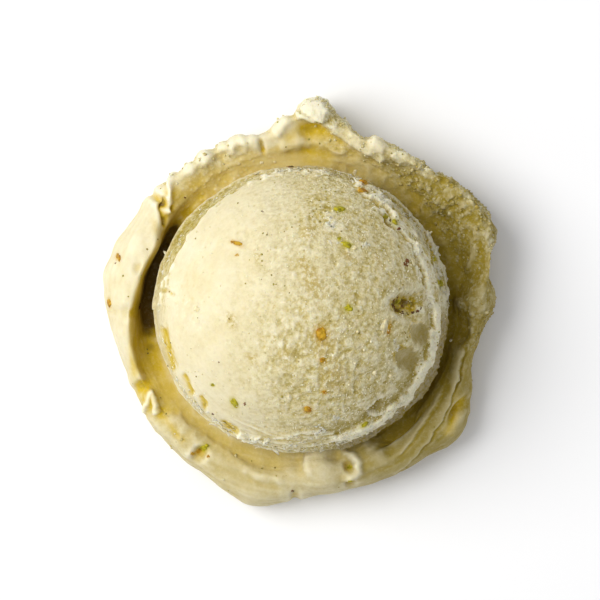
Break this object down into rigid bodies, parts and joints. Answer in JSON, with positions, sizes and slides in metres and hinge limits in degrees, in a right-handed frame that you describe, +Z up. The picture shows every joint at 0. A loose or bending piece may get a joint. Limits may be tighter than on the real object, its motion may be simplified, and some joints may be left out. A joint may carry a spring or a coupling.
{
  "type": "gelato scoop",
  "caption": "Round scoop of pistachio gelato on its own flat base, a smooth dome inside a ragged torn collar with chopped nuts showing in the surface.",
  "frame": {"origin": "on the surface the scoop rests on, under the middle of its outline", "axes": "+Z up through the dome, +Y towards the pointed knob at the back of the collar, +X towards the crumbly shoulder's side"},
  "size_m": [0.0774, 0.0807, 0.0415],
  "materials": {
    "gelato": "frozen pistachio gelato, pale yellow-green cream, softly translucent, moist satin sheen on smooth faces and matt where torn, with flecks of chopped pistachio"
  },
  "bodies": {
    "root": {"gelato_scoop": "gelato"}
  },
  "joints": []
}
